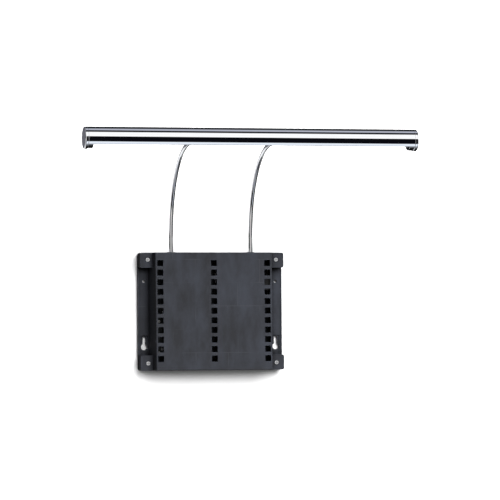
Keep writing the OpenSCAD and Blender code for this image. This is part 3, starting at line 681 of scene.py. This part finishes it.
class BuildStage(bpy.types.Operator):
    """Camera, lights, surroundings, wall and floor"""

    bl_idname = "picture_light.stage"
    bl_label = "Stage"

    def execute(self, context):
        scene = context.scene
        scene.view_settings.view_transform = "Standard"
        self.camera(scene)
        self.surroundings(scene)
        self.wall_and_floor()
        self.lamp("key_lamp", (1.15, -3.0, 1.75), 3.0, 240.0)
        self.lamp("top_lamp", (0.2, -1.2, 3.0), 1.6, 26.0)
        return {"FINISHED"}

    def camera(self, scene):
        data = bpy.data.cameras.new("view_camera")
        data.lens = 222.0
        data.sensor_width = 36.0
        data.clip_end = 30.0
        camera = bpy.data.objects.new("view_camera", data)
        turn = (Matrix.Rotation(math.radians(-13.76), 4, "Z") @ Matrix.Rotation(math.radians(91.65), 4, "X")
                @ Matrix.Rotation(math.radians(-0.41), 4, "Z"))
        camera.matrix_world = Matrix.Translation((-0.928, -4.020, -0.037)) @ turn
        scene.collection.objects.link(camera)
        scene.camera = camera

    def lamp(self, name, place, size, power):
        """A round lamp aimed at the light; it doesn't show in reflections."""
        data = bpy.data.lights.new(name, "AREA")
        data.shape = "DISK"
        data.size = size
        data.energy = power
        lamp = bpy.data.objects.new(name, data)
        aim = (Vector((0, -0.05, 0.02)) - Vector(place)).to_track_quat("-Z", "Y")
        lamp.matrix_world = Matrix.Translation(place) @ aim.to_matrix().to_4x4()
        lamp.visible_glossy = False
        bpy.context.scene.collection.objects.link(lamp)

    def surroundings(self, scene):
        """White to the camera, brighter from the upper right, with cards that only show in reflections."""
        world = bpy.data.worlds.new("studio")
        scene.world = world
        world.use_nodes = True
        tree = world.node_tree
        tree.nodes.clear()
        place = add_node(tree, "ShaderNodeTexCoord").outputs["Generated"]
        light = add_node(tree, "ShaderNodeBackground")
        tree.links.new(self.soft_light(tree, place), light.inputs["Strength"])
        backdrop = add_node(tree, "ShaderNodeBackground", in_Color=(1, 1, 1, 1), in_Strength=1.0)
        mirrored = add_node(tree, "ShaderNodeBackground", in_Strength=1.0)
        tree.links.new(self.cards(tree, place), mirrored.inputs["Color"])
        path = add_node(tree, "ShaderNodeLightPath")
        seen = self.either(tree, path.outputs["Is Camera Ray"], light, backdrop)
        total = self.either(tree, path.outputs["Is Glossy Ray"], seen, mirrored)
        output = add_node(tree, "ShaderNodeOutputWorld")
        tree.links.new(total.outputs[0], output.inputs[0])

    def either(self, tree, choice, first, second):
        """A shader that is the first where the choice is 0 and the second where it is 1."""
        node = add_node(tree, "ShaderNodeMixShader")
        tree.links.new(choice, node.inputs[0])
        tree.links.new(first.outputs[0], node.inputs[1])
        tree.links.new(second.outputs[0], node.inputs[2])
        return node

    def soft_light(self, tree, place):
        """Strength of the light from a direction: strong from the upper right, weak from the left."""
        towards = add_node(tree, "ShaderNodeVectorMath", operation="DOT_PRODUCT", in_1=(0.28, -0.62, 0.66))
        tree.links.new(place, towards.inputs[0])
        return remap(tree, towards.outputs["Value"], 0.1, 0.8, 0.02, 0.66)

    def cards(self, tree, place):
        """What reflections show: bright and dark cards by height, in front, to the right and to the left."""
        parts = add_node(tree, "ShaderNodeSeparateXYZ")
        tree.links.new(place, parts.inputs[0])
        height = math_node(tree, "ARCTAN2", parts.outputs["Z"],
                           math_node(tree, "MULTIPLY", parts.outputs["Y"], -1.0))
        share = remap(tree, height, -math.pi, math.pi)
        # Degrees above the horizon in front (90 straight up, 180 behind) and the light there.
        front = ((-180, (0.01, 0.01, 0.01)), (-100, (0.01, 0.01, 0.01)), (-70, (0.34, 0.36, 0.39)),
                 (-65, (0.80, 0.86, 0.95)), (-43, (0.88, 0.93, 1.0)), (-40, (0.003, 0.003, 0.005)),
                 (11, (0.003, 0.003, 0.005)), (13, (1.05, 1.05, 1.05)), (58, (1.05, 1.05, 1.05)),
                 (60, (0.02, 0.02, 0.024)), (80, (0.02, 0.02, 0.024)), (83, (0.44, 0.46, 0.54)),
                 (104, (0.48, 0.50, 0.58)), (107, (0.04, 0.04, 0.045)), (180, (0.05, 0.05, 0.055)))
        room = ((-180, (0.03, 0.03, 0.03)), (-168, (0.95, 0.95, 0.95)), (-128, (0.95, 0.96, 0.98)),
                (-112, (0.60, 0.61, 0.63)), (-97, (0.30, 0.31, 0.33)), (-70, (0.26, 0.27, 0.29)),
                (-64, (0.006, 0.006, 0.008)), (-43, (0.006, 0.006, 0.008)), (-38, (0.45, 0.45, 0.44)),
                (-28, (0.80, 0.79, 0.77)), (-18, (0.66, 0.65, 0.63)), (8, (0.70, 0.69, 0.67)),
                (12, (1.05, 1.05, 1.05)), (56, (1.05, 1.05, 1.05)), (62, (0.03, 0.03, 0.035)),
                (80, (0.04, 0.04, 0.045)), (86, (0.30, 0.29, 0.35)), (112, (0.30, 0.30, 0.33)),
                (150, (0.03, 0.03, 0.03)), (180, (0.03, 0.03, 0.03)))
        right = ((-180, (0.02, 0.02, 0.02)), (-60, (0.02, 0.02, 0.02)), (-30, (0.16, 0.16, 0.17)),
                 (0, (0.22, 0.22, 0.23)), (12, (0.9, 0.9, 0.9)), (56, (0.9, 0.9, 0.9)),
                 (62, (0.05, 0.05, 0.05)), (180, (0.02, 0.02, 0.02)))
        left = ((-180, (0.9, 0.9, 0.92)), (-122, (0.9, 0.9, 0.92)), (-106, (0.012, 0.012, 0.014)),
                (30, (0.012, 0.012, 0.014)), (70, (0.5, 0.5, 0.5)), (180, (0.02, 0.02, 0.02)))
        shown = self.bands(tree, share, room)
        shown = self.where(tree, remap(tree, parts.outputs["X"], 0.42, 0.52), shown,
                           self.bands(tree, share, right))
        shown = self.where(tree, remap(tree, parts.outputs["X"], -0.66, -0.78), shown,
                           self.bands(tree, share, left))
        inside = math_node(tree, "MULTIPLY", remap(tree, parts.outputs["X"], 0.08, 0.12),
                           remap(tree, parts.outputs["X"], 0.42, 0.36))
        shown = self.where(tree, inside, shown, self.bands(tree, share, front))
        behind = math_node(tree, "MULTIPLY", remap(tree, parts.outputs["X"], -0.08, -0.12),
                           remap(tree, parts.outputs["Y"], 0.85, 0.92))
        pale = add_node(tree, "ShaderNodeRGB")
        pale.outputs[0].default_value = (0.14, 0.14, 0.16, 1)
        return self.where(tree, behind, shown, pale.outputs[0])

    def bands(self, tree, share, stops):
        """A colour ramp over the height from -180 to 180 degrees."""
        ramp = add_node(tree, "ShaderNodeValToRGB")
        tree.links.new(share, ramp.inputs[0])
        points = ramp.color_ramp.elements
        points[0].position, points[0].color = 0.0, (*stops[0][1], 1)
        points[1].position, points[1].color = 1.0, (*stops[-1][1], 1)
        for degrees, tone in stops[1:-1]:
            points.new((degrees + 180) / 360).color = (*tone, 1)
        return ramp.outputs[0]

    def where(self, tree, mask, first, second):
        """The first colour, and the second where the mask is 1."""
        node = add_node(tree, "ShaderNodeMix", data_type="RGBA")
        tree.links.new(mask, node.inputs[0])
        tree.links.new(first, node.inputs[6])
        tree.links.new(second, node.inputs[7])
        return node.outputs[2]

    def wall_and_floor(self):
        """A white wall, clear from behind and dimmer near the housing, and a pale floor well below."""
        material = bpy.data.materials.new("stage_wall")
        material.use_nodes = True
        tree = material.node_tree
        tree.nodes.clear()
        paint = add_node(tree, "ShaderNodeBsdfDiffuse", in_Color=(0.74, 0.74, 0.745, 1))
        near = add_node(tree, "ShaderNodeAmbientOcclusion", in_Distance=SHADOW_REACH, samples=8)
        glow = add_node(tree, "ShaderNodeEmission", in_Color=(1, 1, 1, 1))
        tree.links.new(remap(tree, near.outputs["AO"], 0.5, 0.97, 0.0, WALL_GLOW), glow.inputs["Strength"])
        lit = add_node(tree, "ShaderNodeAddShader")
        tree.links.new(paint.outputs[0], lit.inputs[0])
        tree.links.new(glow.outputs[0], lit.inputs[1])
        clear = add_node(tree, "ShaderNodeBsdfTransparent")
        behind = add_node(tree, "ShaderNodeNewGeometry")
        mix = self.either(tree, behind.outputs["Backfacing"], lit, clear)
        tree.links.new(mix.outputs[0], add_node(tree, "ShaderNodeOutputMaterial").inputs[0])
        pale = bpy.data.materials.new("stage_floor")
        pale.use_nodes = True
        pale.node_tree.nodes["Principled BSDF"].inputs["Base Color"].default_value = (0.8, 0.8, 0.8, 1)
        pale.node_tree.nodes["Principled BSDF"].inputs["Roughness"].default_value = 0.9
        for name, matrix, finish in (
                ("stage_wall", Matrix.Translation((0, 0.6 * MM, 0.6)) @ Matrix.Rotation(math.pi / 2, 4, "X"),
                 material),
                ("stage_floor", Matrix.Translation((0, -2.0, -0.6)), pale)):
            bm = bmesh.new()
            bmesh.ops.create_grid(bm, x_segments=1, y_segments=1, size=2.4, matrix=matrix)
            mesh = bpy.data.meshes.new(name)
            bm.to_mesh(mesh)
            bm.free()
            mesh.materials.append(finish)
            plane = bpy.data.objects.new(name, mesh)
            bpy.context.scene.collection.objects.link(plane)
            plane.visible_glossy = False
            plane.visible_diffuse = False


class BuildBackPlate(bpy.types.Operator):
    """Back plate with its keyholes"""

    bl_idname = "picture_light.back_plate"
    bl_label = "Back plate"

    def execute(self, context):
        refined("back_plate", housing_plastic(), context.scene.picture_light_sizes.moulding_edge)
        return {"FINISHED"}


class BuildFrontCover(bpy.types.Operator):
    """Front cover with its hook holes and screw ears"""

    bl_idname = "picture_light.front_cover"
    bl_label = "Front cover"

    def execute(self, context):
        sizes = context.scene.picture_light_sizes
        low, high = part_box("front_cover")
        bm = from_node("front_cover")
        outline = [edge for edge in bm.edges
                   if edge.calc_face_angle(0) > SHARP and self.in_front(edge, low, high)]
        soften(bm, sizes.front_edge, 3, outline)
        soften(bm, sizes.moulding_edge)
        add_piece("front_cover_finished", bm, housing_plastic(), ["front_cover"])
        return {"FINISHED"}

    def in_front(self, edge, low, high):
        """Whether an edge is part of the front face's outer outline."""
        front = low.y + 3 * MM
        ends = [vert.co for vert in edge.verts]
        if any(end.y > front for end in ends):
            return False
        at_side = all(abs(end.x) > high.x - 20 * MM for end in ends)
        at_end = all(min(end.z - low.z, high.z - end.z) < 0.1 * MM for end in ends)
        return at_side or at_end


class BuildCoverScrews(bpy.types.Operator):
    """Screws that hold the cover to the back plate"""

    bl_idname = "picture_light.cover_screws"
    bl_label = "Cover screws"

    def execute(self, context):
        sizes = context.scene.picture_light_sizes
        bm = from_node("cover_screws")
        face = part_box("cover_screws")[0].y
        rims = [edge for edge in bm.edges if edge.calc_face_angle(0) > SHARP
                and all(abs(vert.co.y - face) < MERGE for vert in edge.verts)
                and self.from_middle(edge) > SCREW_RIM]
        soften(bm, sizes.screw_dome, 5, rims)
        soften(bm, 0.5 * sizes.metal_edge, 1)
        add_piece("cover_screws_finished", bm, zinc_steel(), ["cover_screws"])
        return {"FINISHED"}

    def from_middle(self, edge):
        """Distance of an edge's middle from its own screw's axis."""
        low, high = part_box("cover_screws")
        middle = (edge.verts[0].co + edge.verts[1].co) / 2
        centre_x = high.x - SCREW_HEAD if middle.x > 0 else low.x + SCREW_HEAD
        centre_z = high.z - SCREW_HEAD if middle.z > 0 else low.z + SCREW_HEAD
        return math.hypot(middle.x - centre_x, middle.z - centre_z)


class BuildBatteryDoor(bpy.types.Operator):
    """Battery door and its hinge pins"""

    bl_idname = "picture_light.battery_door"
    bl_label = "Battery door"

    def execute(self, context):
        sizes = context.scene.picture_light_sizes
        refined("battery_door", housing_plastic(), sizes.moulding_edge * 0.7)
        refined("door_pins", zinc_steel(), sizes.metal_edge)
        return {"FINISHED"}


class BuildBatteryPack(bpy.types.Operator):
    """Battery holders, cells, contact springs and contact plates"""

    bl_idname = "picture_light.battery_pack"
    bl_label = "Battery pack"

    def execute(self, context):
        sizes = context.scene.picture_light_sizes
        colours = context.scene.picture_light_colours
        for side in SIDES:
            refined(f"battery_holder_{side}", inner_plastic(), sizes.moulding_edge)
            self.cells(side, colours)
        self.springs(sizes)
        refined("contact_plates", bright_brass(), 0.5 * sizes.metal_edge)
        return {"FINISHED"}

    def cells(self, side, colours):
        """Wrapped cells: a crimped steel can with a button at its positive end and a coloured band."""
        node = f"battery_cells_{side}"
        boxes = solids_of(node)
        middle = sum(low.x + high.x for low, high in boxes) / (2 * len(boxes))
        bm = bmesh.new()
        for low, high in boxes:
            radius = (high.x - low.x) / 2
            button = 1.0 * MM
            tall = high.z - low.z - button
            up = low.x + high.x > 2 * middle
            foot = Vector(((low.x + high.x) / 2, (low.y + high.y) / 2, low.z if up else high.z))
            lip = 0.7 * MM
            outline = [(0, 0), (0, radius * 0.68), (0.3 * MM, radius * 0.72), (0.3 * MM, radius * 0.84)]
            outline += arc(lip, radius - lip, lip, 180, 90)
            outline += arc(tall - lip, radius - lip, lip, 90, 0)
            outline += [(tall, radius * 0.52), (tall - 0.35 * MM, radius * 0.49),
                        (tall - 0.35 * MM, radius * 0.385), (tall + 0.7 * MM, radius * 0.375)]
            outline += arc(tall + button - 0.3 * MM, radius * 0.375 - 0.3 * MM, 0.3 * MM, 60, 0, 3)
            outline += [(tall + button, 0)]
            way = Z_AXIS if up else -Z_AXIS
            for face in lathe(bm, outline, foot, way, 40):
                reach = (face.calc_center_median() - foot)
                along = reach.dot(way)
                across = (reach - way * along).length
                bare = (along < 0.31 * MM and across < radius * 0.845) or (
                    along > tall - 0.4 * MM and across < radius * 0.5)
                face.material_index = 2 if bare else (1 if along > 0.74 * tall else 0)
        add_piece(f"{node}_finished", bm, shrink_wrap(tuple(colours.wrap)), [node],
                  (shrink_wrap(tuple(colours.wrap_band)), zinc_steel()), weighted=False)

    def springs(self, sizes):
        """Conical springs, wide where they sit on the holder and narrow at the cell."""
        turns = 3
        steps = 20
        wire = sizes.spring_wire
        boxes = solids_of("contact_springs")
        data = bpy.data.curves.new("contact_springs_finished", "CURVE")
        data.dimensions = "3D"
        data.bevel_depth = wire
        data.bevel_resolution = 2
        data.use_fill_caps = True
        for low, high in boxes:
            # In each holder the right-hand cells stand with their springs below.
            side = [box for box in boxes if (box[0].x > 0) == (low.x > 0)]
            middle = sum(box[0].x + box[1].x for box in side) / (2 * len(side))
            up = low.x + high.x > 2 * middle
            # The helix starts on one side, so the middle is found from its wide first turn.
            wide = (high.y - low.y) / 2 - wire
            height = high.z - low.z - 2 * wire
            centre = Vector((0, 0, low.z + wire if up else high.z - wire))
            centre.x = low.x + wire + self.reach_back(wide) if up else high.x - wire - self.reach_back(wide)
            centre.y = (low.y + high.y) / 2
            spline = data.splines.new("POLY")
            count = turns * steps
            spline.points.add(count)
            for i in range(count + 1):
                share = i / count
                radius = wide * (1 - 0.5 * share)
                turn = 2 * math.pi * turns * share
                step = Vector((radius * math.cos(turn), radius * math.sin(turn), height * share))
                if not up:
                    step = Vector((-step.x, step.y, -step.z))
                spline.points[i].co = (*(centre + step), 1)
        data.materials.append(zinc_steel())
        piece = bpy.data.objects.new("contact_springs_finished", data)
        bpy.context.scene.collection.objects.link(piece)
        settle(piece, ["contact_springs"])

    def reach_back(self, wide):
        """How far the helix reaches to the side opposite its start, half a turn in."""
        return wide * (1 - 0.5 / 6)


class BuildDriverBoard(bpy.types.Operator):
    """Driver board with its parts and screws"""

    bl_idname = "picture_light.driver_board"
    bl_label = "Driver board"

    def execute(self, context):
        sizes = context.scene.picture_light_sizes
        refined("driver_board", board_mask(), 0.5 * sizes.metal_edge)
        refined("board_screws", zinc_steel(), 0.6 * sizes.metal_edge)
        bm = bmesh.new()
        pins = []
        for low, high in solids_of("board_parts"):
            deep = high.y - low.y
            if deep < 2 * MM:
                block(bm, low, high)
                for i in range(4):
                    at = low.z + (i + 0.5) * (high.z - low.z) / 4
                    for side in (low.x, high.x):
                        pins.append(((side - 0.45 * MM, high.y - 0.7 * MM, at - 0.2 * MM),
                                     (side + 0.45 * MM, high.y - 0.1 * MM, at + 0.2 * MM)))
                continue
            radius = (high.x - low.x) / 2
            foot = Vector(((low.x + high.x) / 2, high.y, (low.z + high.z) / 2))
            lip = 0.4 * MM
            outline = [(0, 0), (0, radius - lip)] + arc(lip, radius - lip, lip, 180, 90, 3)
            outline += [(1.1 * MM, radius), (1.3 * MM, radius * 0.9), (1.6 * MM, radius * 0.9),
                        (1.8 * MM, radius)]
            outline += arc(deep - lip, radius - lip, lip, 90, 0, 3) + [(deep, radius * 0.7)]
            outline += [(deep - 0.15 * MM, radius * 0.66), (deep - 0.15 * MM, 0)]
            for face in lathe(bm, outline, foot, -Y_AXIS, 40):
                reach = face.calc_center_median() - foot
                if -reach.y > deep - 0.2 * MM and Vector((reach.x, reach.z)).length < radius * 0.67:
                    face.material_index = 1
        flat = [edge for edge in bm.edges if edge.calc_length() > 1 * MM and edge.calc_face_angle(0) > 1.5]
        soften(bm, 0.15 * MM, 2, [edge for edge in flat if len(edge.link_faces[0].verts) == 4])
        for low, high in pins:
            for face in block(bm, low, high):
                face.material_index = 1
        add_piece("board_parts_finished", bm, inner_plastic(), ["board_parts"], (zinc_steel(),))
        return {"FINISHED"}


class BuildSlideSwitch(bpy.types.Operator):
    """Body and knob of the slide switch"""

    bl_idname = "picture_light.slide_switch"
    bl_label = "Slide switch"

    def execute(self, context):
        sizes = context.scene.picture_light_sizes
        refined("switch_body", inner_plastic(), sizes.moulding_edge * 0.7)
        refined("switch_knob", housing_plastic(), sizes.moulding_edge * 0.4)
        return {"FINISHED"}


class BuildWiring(bpy.types.Operator):
    """Leads in the housing and in the shade"""

    bl_idname = "picture_light.wiring"
    bl_label = "Wiring"

    def execute(self, context):
        for node in ("inner_leads", "shade_leads"):
            refined(node, lead_rubber(), 0.4 * context.scene.picture_light_sizes.metal_edge)
        return {"FINISHED"}


class BuildArmGuides(bpy.types.Operator):
    """Top bushes, lower guides, their screws and the brass contacts"""

    bl_idname = "picture_light.arm_guides"
    bl_label = "Arm guides"

    def execute(self, context):
        sizes = context.scene.picture_light_sizes
        for side in SIDES:
            refined(f"arm_bush_{side}", inner_plastic(), 0.7 * sizes.moulding_edge)
            refined(f"arm_guide_{side}", inner_plastic(), sizes.moulding_edge)
        refined("guide_screws", zinc_steel(), 0.6 * sizes.metal_edge)
        refined("arm_contacts", bright_brass(), 0.5 * sizes.metal_edge)
        return {"FINISHED"}


class BuildArms(bpy.types.Operator):
    """Bent arms, their stop collars, collar screws and hinge eyes"""

    bl_idname = "picture_light.arms"
    bl_label = "Arms"

    def execute(self, context):
        sizes = context.scene.picture_light_sizes
        for side in SIDES:
            self.arm(f"arm_{side}", sizes)
            refined(f"stop_collar_{side}", bright_brass(), 2 * sizes.metal_edge, 3)
            refined(f"arm_eye_{side}", chrome_plate(), 2 * sizes.metal_edge, 3)
        refined("collar_screws", zinc_steel(), 0.5 * sizes.metal_edge)
        return {"FINISHED"}

    def arm(self, node, sizes):
        """A round bar: straight up, a quarter bend towards the room and a straight end."""
        low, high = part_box(node)
        radius = (high.x - low.x) / 2
        foot = Vector(((low.x + high.x) / 2, high.y - radius, low.z))
        bend_low = high.z - radius - sizes.bend_radius
        bm = bmesh.new()
        made = bmesh.ops.create_circle(bm, cap_ends=True, segments=40, radius=radius,
                                       matrix=Matrix.Translation(foot))
        face = made["verts"][0].link_faces[0]
        end = bmesh.ops.extrude_face_region(bm, geom=[face], use_keep_orig=True)
        bmesh.ops.translate(bm, verts=self.verts_of(end), vec=(0, 0, bend_low - low.z))
        front = [item for item in end["geom"] if isinstance(item, bmesh.types.BMFace)]
        turned = bmesh.ops.spin(bm, geom=front, cent=(foot.x, foot.y - sizes.bend_radius, bend_low),
                                axis=X_AXIS, dvec=(0, 0, 0), angle=math.pi / 2, steps=64,
                                use_merge=False, use_duplicate=False)
        front = [item for item in turned["geom_last"] if isinstance(item, bmesh.types.BMFace)]
        end = bmesh.ops.extrude_face_region(bm, geom=front)
        bmesh.ops.translate(bm, verts=self.verts_of(end),
                            vec=(0, low.y - (foot.y - sizes.bend_radius), 0))
        bmesh.ops.recalc_face_normals(bm, faces=bm.faces)
        soften(bm, 0.3 * MM, 2)
        bar = add_piece(f"{node}_finished", bm, chrome_plate(), [node], weighted=False)
        bar.visible_shadow = False

    def verts_of(self, made):
        """The vertices among an operator's new geometry."""
        return [item for item in made["geom"] if isinstance(item, bmesh.types.BMVert)]


class BuildShadeShell(bpy.types.Operator):
    """Rolled tube of the shade with its light opening"""

    bl_idname = "picture_light.shade_shell"
    bl_label = "Shade shell"

    def execute(self, context):
        sizes = context.scene.picture_light_sizes
        low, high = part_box("shade_shell")
        axis, radius = shade_axis()
        start = lip_turn()
        centre = Vector((low.x, axis.y, axis.z))
        out = Vector((0, -math.cos(start), -math.sin(start)))
        bm = bmesh.new()
        verts = [bm.verts.new(centre + out * reach) for reach in (radius, radius - sizes.shade_wall)]
        edge = bm.edges.new(verts)
        bmesh.ops.spin(bm, geom=[*verts, edge], cent=centre, axis=-X_AXIS, dvec=(0, 0, 0),
                       angle=2 * math.pi - sizes.shade_opening, steps=sizes.round_steps,
                       use_merge=False, use_duplicate=False)
        made = bmesh.ops.extrude_face_region(bm, geom=bm.faces[:], use_keep_orig=True)
        verts = [item for item in made["geom"] if isinstance(item, bmesh.types.BMVert)]
        bmesh.ops.translate(bm, verts=verts, vec=(high.x - low.x, 0, 0))
        bmesh.ops.recalc_face_normals(bm, faces=bm.faces)
        soften(bm, sizes.metal_edge, 2)
        add_piece("shade_shell_finished", bm, chrome_plate(), ["shade_shell"])
        return {"FINISHED"}


class BuildEndCaps(bpy.types.Operator):
    """End caps of the shade with their sleeves"""

    bl_idname = "picture_light.end_caps"
    bl_label = "End caps"

    def execute(self, context):
        sizes = context.scene.picture_light_sizes
        axis, radius = shade_axis()
        for side, way in (("left", -1), ("right", 1)):
            node = f"end_cap_{side}"
            low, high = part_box(node)
            outer = low.x if way < 0 else high.x
            seam = outer - way * sizes.cap_thick
            sleeve = (high.x - low.x) - sizes.cap_thick
            snug = radius - sizes.shade_wall - 0.05 * MM
            inner = snug - sizes.sleeve_wall
            edge = sizes.metal_edge
            seam_edge = 2 * edge
            outline = [(0, 0), (0, inner), (-sleeve + edge, inner), (-sleeve, inner + edge),
                       (-sleeve, snug - edge), (-sleeve + edge, snug), (0, snug)]
            outline += arc(seam_edge, radius - seam_edge, seam_edge, 180, 90, 3)
            outline += arc(sizes.cap_thick - sizes.cap_round, radius - sizes.cap_round, sizes.cap_round,
                           90, 0, 8)
            outline += [(sizes.cap_thick, radius * 0.55), (sizes.cap_thick, 0)]
            bm = bmesh.new()
            lathe(bm, outline, (seam, axis.y, axis.z), X_AXIS * way, sizes.round_steps)
            add_piece(f"{node}_finished", bm, chrome_plate(), [node])
        return {"FINISHED"}


class BuildLightStrip(bpy.types.Operator):
    """Carrier, board and light emitting diodes"""

    bl_idname = "picture_light.light_strip"
    bl_label = "Light strip"

    def execute(self, context):
        sizes = context.scene.picture_light_sizes
        refined("led_carrier", extruded_aluminium(), 0.6 * sizes.metal_edge)
        refined("led_board", strip_mask(), 0.5 * sizes.metal_edge)
        place = shade_place(sizes)
        bm = bmesh.new()
        half = Vector((1.75, 1.4, 0.4)) * MM
        for low, high in solids_of("leds"):
            middle = place.inverted() @ ((low + high) / 2)
            faces = block(bm, middle - half, middle + half, place)
            out = place.to_3x3() @ -Z_AXIS
            bm.normal_update()
            window = max(faces, key=lambda face: face.normal.dot(out))
            bmesh.ops.inset_individual(bm, faces=[window], thickness=0.35 * MM, depth=0)
            bmesh.ops.inset_individual(bm, faces=[window], thickness=0.12 * MM, depth=-0.15 * MM)
            window.material_index = 1
        add_piece("leds_finished", bm, strip_mask(), ["leds"], (phosphor_gel(),))
        return {"FINISHED"}


class BuildDiffuser(bpy.types.Operator):
    """Frosted diffuser in the light opening"""

    bl_idname = "picture_light.diffuser"
    bl_label = "Diffuser"

    def execute(self, context):
        refined("diffuser", frosted_acrylic(), 1.5 * context.scene.picture_light_sizes.metal_edge, 3)
        return {"FINISHED"}


class BuildBrackets(bpy.types.Operator):
    """Hinge brackets with their pads, rivets and washers"""

    bl_idname = "picture_light.brackets"
    bl_label = "Brackets"

    def execute(self, context):
        sizes = context.scene.picture_light_sizes
        for side in SIDES:
            refined(f"hinge_bracket_{side}", chrome_plate(), 1.5 * sizes.metal_edge, 3)
            refined(f"bracket_pad_{side}", inner_plastic(), 0.5 * sizes.metal_edge)
        refined("bracket_rivets", zinc_steel(), 1.5 * sizes.metal_edge, 3)
        refined("rivet_washers", inner_plastic(), 0.5 * sizes.metal_edge)
        return {"FINISHED"}


class BuildPivots(bpy.types.Operator):
    """Pivot screws, nuts and friction washers"""

    bl_idname = "picture_light.pivots"
    bl_label = "Pivots"

    def execute(self, context):
        sizes = context.scene.picture_light_sizes
        refined("pivot_screws", zinc_steel(), 1.5 * sizes.metal_edge, 3)
        refined("pivot_nuts", zinc_steel(), sizes.metal_edge)
        refined("friction_washers", bright_brass(), 0.5 * sizes.metal_edge)
        return {"FINISHED"}


BUILDERS = (BuildStage, BuildBackPlate, BuildFrontCover, BuildCoverScrews, BuildBatteryDoor, BuildBatteryPack,
            BuildDriverBoard, BuildSlideSwitch, BuildWiring, BuildArmGuides, BuildArms, BuildShadeShell,
            BuildEndCaps, BuildLightStrip, BuildDiffuser, BuildBrackets, BuildPivots)


class PictureLightPanel(bpy.types.Panel):
    """Lists the steps that build the picture light"""

    bl_idname = "VIEW3D_PT_picture_light"
    bl_label = "Picture Light"
    bl_space_type = "VIEW_3D"
    bl_region_type = "UI"
    bl_category = "Picture Light"

    def draw(self, context):
        for builder in BUILDERS:
            self.layout.operator(builder.bl_idname)


CLASSES = (PictureLightSizes, PictureLightColours, *BUILDERS, PictureLightPanel)


def register():
    """Registers the classes and puts the settings on the scene."""
    for item in CLASSES:
        bpy.utils.register_class(item)
    bpy.types.Scene.picture_light_sizes = bpy.props.PointerProperty(type=PictureLightSizes)
    bpy.types.Scene.picture_light_colours = bpy.props.PointerProperty(type=PictureLightColours)


def unregister():
    """Takes the settings and the classes away again."""
    del bpy.types.Scene.picture_light_colours
    del bpy.types.Scene.picture_light_sizes
    for item in reversed(CLASSES):
        bpy.utils.unregister_class(item)


def main():
    """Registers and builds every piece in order."""
    register()
    bpy.ops.picture_light.stage()
    bpy.ops.picture_light.back_plate()
    bpy.ops.picture_light.front_cover()
    bpy.ops.picture_light.cover_screws()
    bpy.ops.picture_light.battery_door()
    bpy.ops.picture_light.battery_pack()
    bpy.ops.picture_light.driver_board()
    bpy.ops.picture_light.slide_switch()
    bpy.ops.picture_light.wiring()
    bpy.ops.picture_light.arm_guides()
    bpy.ops.picture_light.arms()
    bpy.ops.picture_light.shade_shell()
    bpy.ops.picture_light.end_caps()
    bpy.ops.picture_light.light_strip()
    bpy.ops.picture_light.diffuser()
    bpy.ops.picture_light.brackets()
    bpy.ops.picture_light.pivots()


if __name__ == "__main__":
    main()
